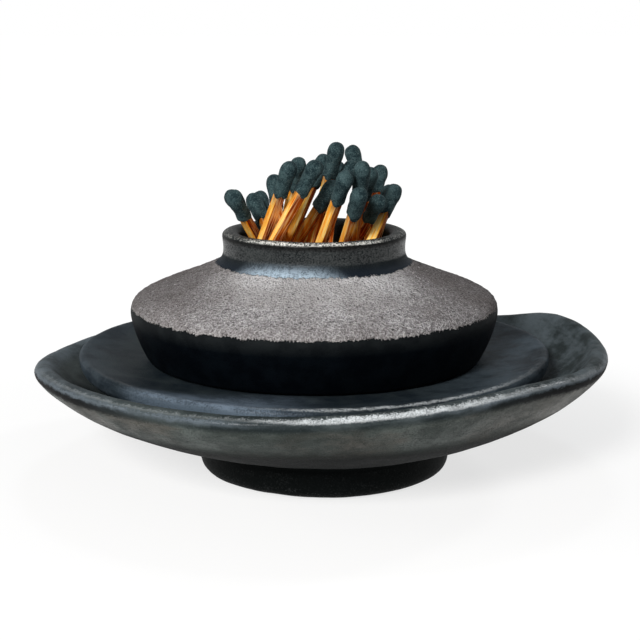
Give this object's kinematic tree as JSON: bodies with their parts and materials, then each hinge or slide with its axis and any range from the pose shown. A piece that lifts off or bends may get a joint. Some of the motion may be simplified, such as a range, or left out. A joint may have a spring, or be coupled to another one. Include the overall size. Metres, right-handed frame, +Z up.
{
  "type": "match striker",
  "caption": "Round stoneware match striker: a gritty-shouldered pot of matches on a saucer, nested in a footed, hand-pressed dish.",
  "frame": {"origin": "middle of the plan outline, on the plane that the dish's foot stands on", "axes": "+Z up; the picture looks along +Y, with +X to its right"},
  "size_m": [0.1366, 0.126, 0.0786],
  "materials": {
    "dish_glaze": "satin black glaze, grey where it breaks on the rim",
    "saucer_glaze": "satin slate-black glaze",
    "pot_clay": "bare gritty clay on the shoulder, satin black glaze on the neck and wall",
    "splint_wood": "amber dyed splint, matt",
    "match_head": "matt dark teal match compound"
  },
  "bodies": {
    "dish": {"dish": "dish_glaze"},
    "saucer": {"saucer": "saucer_glaze"},
    "pot": {"striker_pot": "pot_clay"},
    "match_01": {"match_01_stick": "splint_wood", "match_01_head": "match_head"},
    "match_02": {"match_02_stick": "splint_wood", "match_02_head": "match_head"},
    "match_03": {"match_03_stick": "splint_wood", "match_03_head": "match_head"},
    "match_04": {"match_04_stick": "splint_wood", "match_04_head": "match_head"},
    "match_05": {"match_05_stick": "splint_wood", "match_05_head": "match_head"},
    "match_06": {"match_06_stick": "splint_wood", "match_06_head": "match_head"},
    "match_07": {"match_07_stick": "splint_wood", "match_07_head": "match_head"},
    "match_08": {"match_08_stick": "splint_wood", "match_08_head": "match_head"},
    "match_09": {"match_09_stick": "splint_wood", "match_09_head": "match_head"},
    "match_10": {"match_10_stick": "splint_wood", "match_10_head": "match_head"},
    "match_11": {"match_11_stick": "splint_wood", "match_11_head": "match_head"},
    "match_12": {"match_12_stick": "splint_wood", "match_12_head": "match_head"},
    "match_13": {"match_13_stick": "splint_wood", "match_13_head": "match_head"},
    "match_14": {"match_14_stick": "splint_wood", "match_14_head": "match_head"},
    "match_15": {"match_15_stick": "splint_wood", "match_15_head": "match_head"},
    "match_16": {"match_16_stick": "splint_wood", "match_16_head": "match_head"},
    "match_17": {"match_17_stick": "splint_wood", "match_17_head": "match_head"},
    "match_18": {"match_18_stick": "splint_wood", "match_18_head": "match_head"},
    "match_19": {"match_19_stick": "splint_wood", "match_19_head": "match_head"},
    "match_20": {"match_20_stick": "splint_wood", "match_20_head": "match_head"},
    "match_21": {"match_21_stick": "splint_wood", "match_21_head": "match_head"},
    "match_22": {"match_22_stick": "splint_wood", "match_22_head": "match_head"}
  },
  "joints": [
    {"name": "saucer_lift", "type": "slide", "parent": "dish", "child": "saucer", "axis": [0, 0, 1], "range_m": [0, 0.025]},
    {"name": "pot_lift", "type": "slide", "parent": "saucer", "child": "pot", "axis": [0, 0, 1], "range_m": [0, 0.02]},
    {"name": "match_01_draw", "type": "slide", "parent": "pot", "child": "match_01", "axis": [-0.3401, -0.6462, 0.6832], "range_m": [0, 0.038]},
    {"name": "match_02_draw", "type": "slide", "parent": "pot", "child": "match_02", "axis": [-0.2883, -0.6503, 0.7028], "range_m": [0, 0.038]},
    {"name": "match_03_draw", "type": "slide", "parent": "pot", "child": "match_03", "axis": [-0.3822, 0.6861, 0.619], "range_m": [0, 0.038]},
    {"name": "match_04_draw", "type": "slide", "parent": "pot", "child": "match_04", "axis": [-0.2755, 0.7385, 0.6154], "range_m": [0, 0.038]},
    {"name": "match_05_draw", "type": "slide", "parent": "pot", "child": "match_05", "axis": [-0.1118, 0.6674, 0.7363], "range_m": [0, 0.038]},
    {"name": "match_06_draw", "type": "slide", "parent": "pot", "child": "match_06", "axis": [0.3094, -0.431, 0.8477], "range_m": [0, 0.038]},
    {"name": "match_07_draw", "type": "slide", "parent": "pot", "child": "match_07", "axis": [0.1714, -0.5267, 0.8326], "range_m": [0, 0.038]},
    {"name": "match_08_draw", "type": "slide", "parent": "pot", "child": "match_08", "axis": [0.3811, 0.3877, 0.8393], "range_m": [0, 0.038]},
    {"name": "match_09_draw", "type": "slide", "parent": "pot", "child": "match_09", "axis": [0.2259, -0.3254, 0.9182], "range_m": [0, 0.038]},
    {"name": "match_10_draw", "type": "slide", "parent": "pot", "child": "match_10", "axis": [0.1164, 0.6178, 0.7776], "range_m": [0, 0.038]},
    {"name": "match_11_draw", "type": "slide", "parent": "pot", "child": "match_11", "axis": [0.4574, -0.2495, 0.8535], "range_m": [0, 0.038]},
    {"name": "match_12_draw", "type": "slide", "parent": "pot", "child": "match_12", "axis": [0.418, -0.5348, 0.7343], "range_m": [0, 0.038]},
    {"name": "match_13_draw", "type": "slide", "parent": "pot", "child": "match_13", "axis": [0.4428, -0.3684, 0.8175], "range_m": [0, 0.038]},
    {"name": "match_14_draw", "type": "slide", "parent": "pot", "child": "match_14", "axis": [0.2661, -0.5288, 0.8059], "range_m": [0, 0.038]},
    {"name": "match_15_draw", "type": "slide", "parent": "pot", "child": "match_15", "axis": [0.1776, -0.6645, 0.7259], "range_m": [0, 0.038]},
    {"name": "match_16_draw", "type": "slide", "parent": "pot", "child": "match_16", "axis": [-0.2147, 0.4494, 0.8671], "range_m": [0, 0.038]},
    {"name": "match_17_draw", "type": "slide", "parent": "pot", "child": "match_17", "axis": [0.0696, -0.5295, 0.8455], "range_m": [0, 0.038]},
    {"name": "match_18_draw", "type": "slide", "parent": "pot", "child": "match_18", "axis": [0.1584, 0.6416, 0.7505], "range_m": [0, 0.038]},
    {"name": "match_19_draw", "type": "slide", "parent": "pot", "child": "match_19", "axis": [0.2011, -0.5805, 0.789], "range_m": [0, 0.038]},
    {"name": "match_20_draw", "type": "slide", "parent": "pot", "child": "match_20", "axis": [0.2611, 0.6974, 0.6674], "range_m": [0, 0.038]},
    {"name": "match_21_draw", "type": "slide", "parent": "pot", "child": "match_21", "axis": [0.3026, -0.6801, 0.6677], "range_m": [0, 0.038]},
    {"name": "match_22_draw", "type": "slide", "parent": "pot", "child": "match_22", "axis": [0.3634, 0.6323, 0.6842], "range_m": [0, 0.038]}
  ]
}
